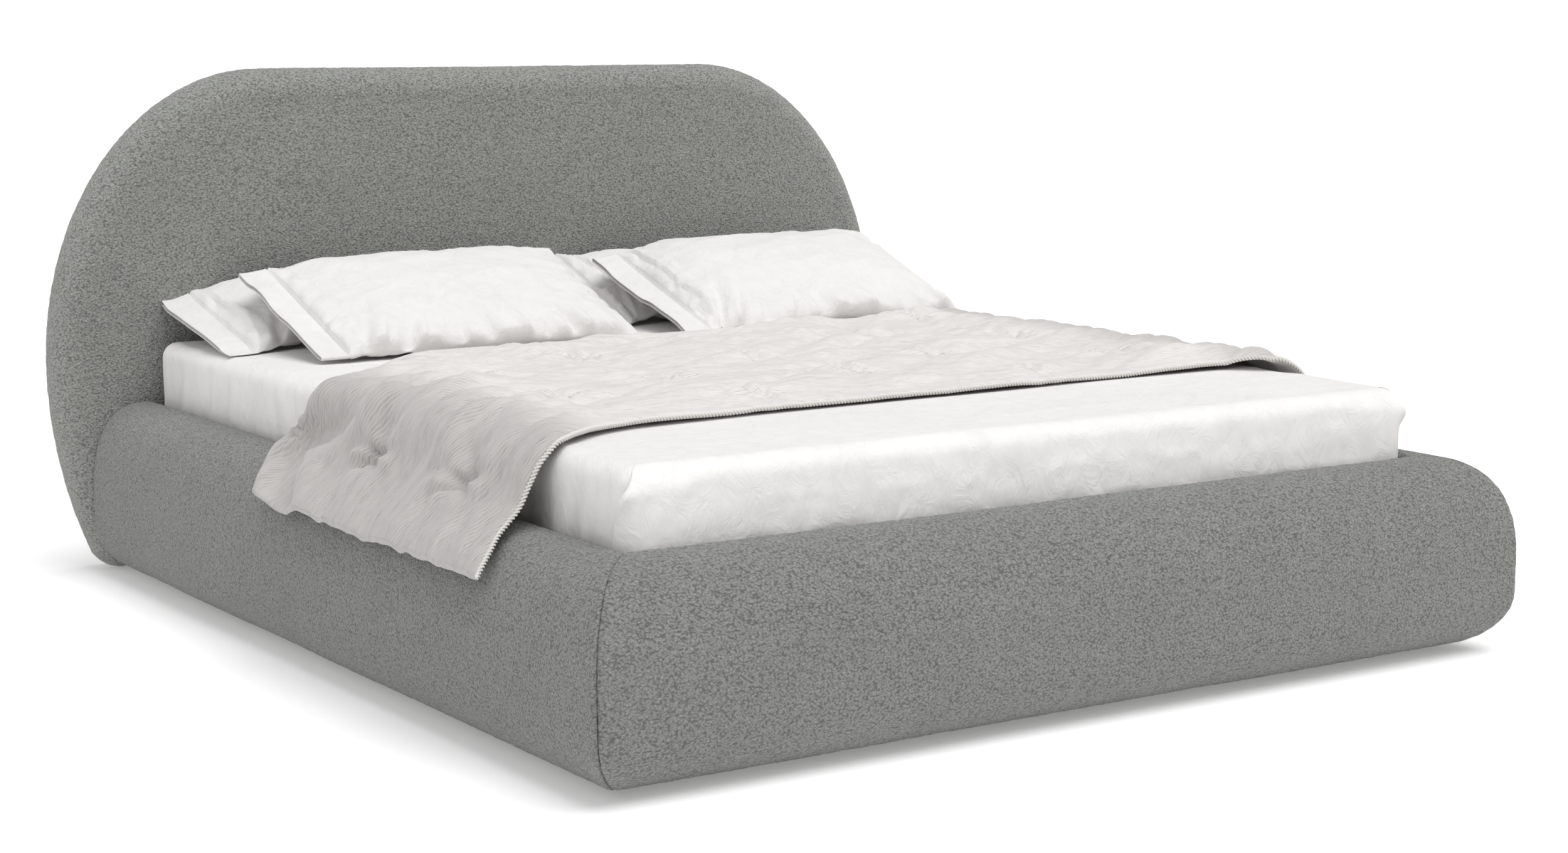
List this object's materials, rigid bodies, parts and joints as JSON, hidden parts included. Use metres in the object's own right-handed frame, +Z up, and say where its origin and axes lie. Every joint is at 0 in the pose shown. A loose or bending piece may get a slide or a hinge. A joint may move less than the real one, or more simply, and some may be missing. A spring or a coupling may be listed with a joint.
{
  "type": "upholstered platform bed",
  "caption": "Upholstered double platform bed with an arched headboard, padded rolls round a low base, mattress, sheet, pillows and a tufted coverlet.",
  "frame": {"origin": "on the floor under the middle of the bed's bounding box", "axes": "+X across the bed, +Y towards the head, +Z up"},
  "size_m": [2, 2.29, 1.03],
  "materials": {
    "boucle": "matte",
    "foam": "matte",
    "plywood": "matte",
    "timber": "matte",
    "hardboard": "matte",
    "glide_plastic": "matte",
    "black_steel": "satin",
    "zinc_steel": "satin",
    "beech_slat": "satin",
    "slat_cap_rubber": "matte",
    "mattress_foam": "matte",
    "ticking": "matte",
    "sheet_cotton": "matte",
    "pillow_filling": "matte",
    "pillow_cotton": "matte",
    "coverlet_linen": "matte",
    "coverlet_cord": "matte"
  },
  "bodies": {
    "bed_frame": {"base_glides": "glide_plastic", "beam_hangers": "black_steel", "centre_beam": "black_steel", "centre_leg_feet": "glide_plastic", "centre_legs": "black_steel", "corner_bolts": "zinc_steel", "corner_nuts": "zinc_steel", "foot_corner_brackets": "black_steel", "footboard_board": "timber", "footboard_cover": "boucle", "footboard_foam": "foam", "footboard_formers": "plywood", "footboard_skin": "hardboard", "hanger_screws": "zinc_steel", "head_corner_brackets": "black_steel", "headboard_back_board": "hardboard", "headboard_back_cover": "boucle", "headboard_battens": "timber", "headboard_cover": "boucle", "headboard_foam": "foam", "headboard_glides": "glide_plastic", "headboard_mount_blocks": "timber", "headboard_panel": "plywood", "ledger_screws": "zinc_steel", "left_base_caps": "slat_cap_rubber", "left_base_frame": "timber", "left_base_slats": "beech_slat", "left_ledger": "black_steel", "left_rail_board": "timber", "left_rail_cover": "boucle", "left_rail_foam": "foam", "left_rail_formers": "plywood", "left_rail_skin": "hardboard", "right_base_caps": "slat_cap_rubber", "right_base_frame": "timber", "right_base_slats": "beech_slat", "right_ledger": "black_steel", "right_rail_board": "timber", "right_rail_cover": "boucle", "right_rail_foam": "foam", "right_rail_formers": "plywood", "right_rail_skin": "hardboard"},
    "mattress": {"mattress_core": "mattress_foam", "mattress_ticking": "ticking", "bed_sheet": "sheet_cotton"},
    "coverlet": {"coverlet": "coverlet_linen", "coverlet_edging": "coverlet_cord"},
    "back_left_pillow": {"back_left_pillow": "pillow_filling", "back_left_pillowcase": "pillow_cotton"},
    "back_right_pillow": {"back_right_pillow": "pillow_filling", "back_right_pillowcase": "pillow_cotton"},
    "front_left_pillow": {"front_left_pillow": "pillow_filling", "front_left_pillowcase": "pillow_cotton"},
    "front_right_pillow": {"front_right_pillow": "pillow_filling", "front_right_pillowcase": "pillow_cotton"}
  },
  "joints": [
    {"name": "mattress_lift", "type": "slide", "parent": "bed_frame", "child": "mattress", "axis": [0, 0, 1], "range_m": [0, 0.3]},
    {"name": "coverlet_lift", "type": "slide", "parent": "mattress", "child": "coverlet", "axis": [0, 0, 1], "range_m": [0, 0.3]},
    {"name": "back_left_pillow_lift", "type": "slide", "parent": "mattress", "child": "back_left_pillow", "axis": [0, 0, 1], "range_m": [0, 0.22]},
    {"name": "front_left_pillow_lift", "type": "slide", "parent": "back_left_pillow", "child": "front_left_pillow", "axis": [0, 0, 1], "range_m": [0, 0.22]},
    {"name": "back_right_pillow_lift", "type": "slide", "parent": "mattress", "child": "back_right_pillow", "axis": [0, 0, 1], "range_m": [0, 0.22]},
    {"name": "front_right_pillow_lift", "type": "slide", "parent": "back_right_pillow", "child": "front_right_pillow", "axis": [0, 0, 1], "range_m": [0, 0.22]}
  ]
}
